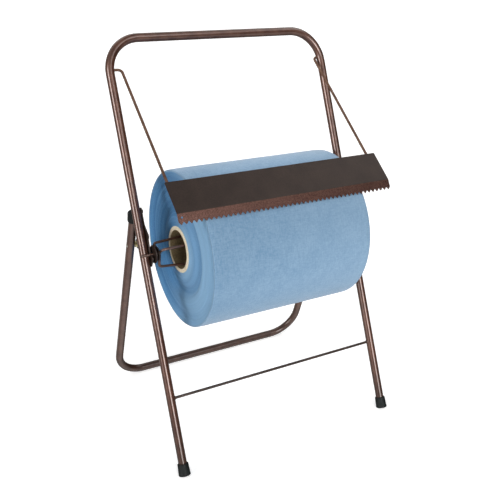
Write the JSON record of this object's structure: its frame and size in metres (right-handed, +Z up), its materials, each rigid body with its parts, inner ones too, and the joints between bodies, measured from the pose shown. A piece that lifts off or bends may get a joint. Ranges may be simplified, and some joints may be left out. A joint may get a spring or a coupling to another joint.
{
  "type": "wiper roll stand",
  "caption": "Folding floor stand of bent bronze-coloured tube that carries a wide roll of blue wiper cloth on wire chucks, with a hinged toothed tear-off plate.",
  "frame": {"origin": "on the floor, in the middle of the stand's outline", "axes": "+X to the right seen from the front, -Y to the front where the roll is pulled from, +Z up"},
  "size_m": [0.5666, 0.4444, 0.8733],
  "materials": {
    "bronze": "glossy bronze-brown baked enamel",
    "dark_bronze": "dark brown hammered enamel",
    "rubber": "matt moulded",
    "brass": "plain turned",
    "zinc": "zinc plated",
    "cloth": "fine nonwoven, tightly wound",
    "cardboard": "plain spiral-wound board"
  },
  "bodies": {
    "stand": {"front_frame": "bronze", "cross_rod": "bronze", "foot_tip_left": "rubber", "foot_tip_right": "rubber", "side_bracket_left": "dark_bronze", "side_bracket_right": "dark_bronze", "bracket_rivets_left": "dark_bronze", "bracket_rivets_right": "dark_bronze", "fold_pin_left": "zinc", "fold_pin_right": "zinc", "pin_spacer_left": "brass", "pin_spacer_right": "brass"},
    "rear_legs": {"rear_frame": "bronze", "rear_tip_left": "rubber", "rear_tip_right": "rubber"},
    "cutter": {"cutter_arm_left": "bronze", "cutter_arm_right": "bronze", "cutter_plate": "dark_bronze"},
    "roll": {"wiper_roll": "cloth", "core_tube": "cardboard", "chuck_axle_left": "bronze", "chuck_axle_right": "bronze", "chuck_hub_left": "dark_bronze", "chuck_hub_right": "dark_bronze", "chuck_prongs_left": "bronze", "chuck_prongs_right": "bronze"}
  },
  "joints": [
    {"name": "rear_fold", "type": "hinge", "parent": "stand", "child": "rear_legs", "pos_m": [0, 0.07604, 0.43069], "axis": [-1, 0, 0], "range_deg": [0, 50]},
    {"name": "cutter_swing", "type": "hinge", "parent": "stand", "child": "cutter", "pos_m": [0, 0.1568, 0.80286], "axis": [-1, 0, 0], "range_deg": [0, 130]},
    {"name": "roll_spin", "type": "hinge", "parent": "stand", "child": "roll", "pos_m": [0, -0.02135, 0.44449], "axis": [1, 0, 0], "continuous": true}
  ]
}
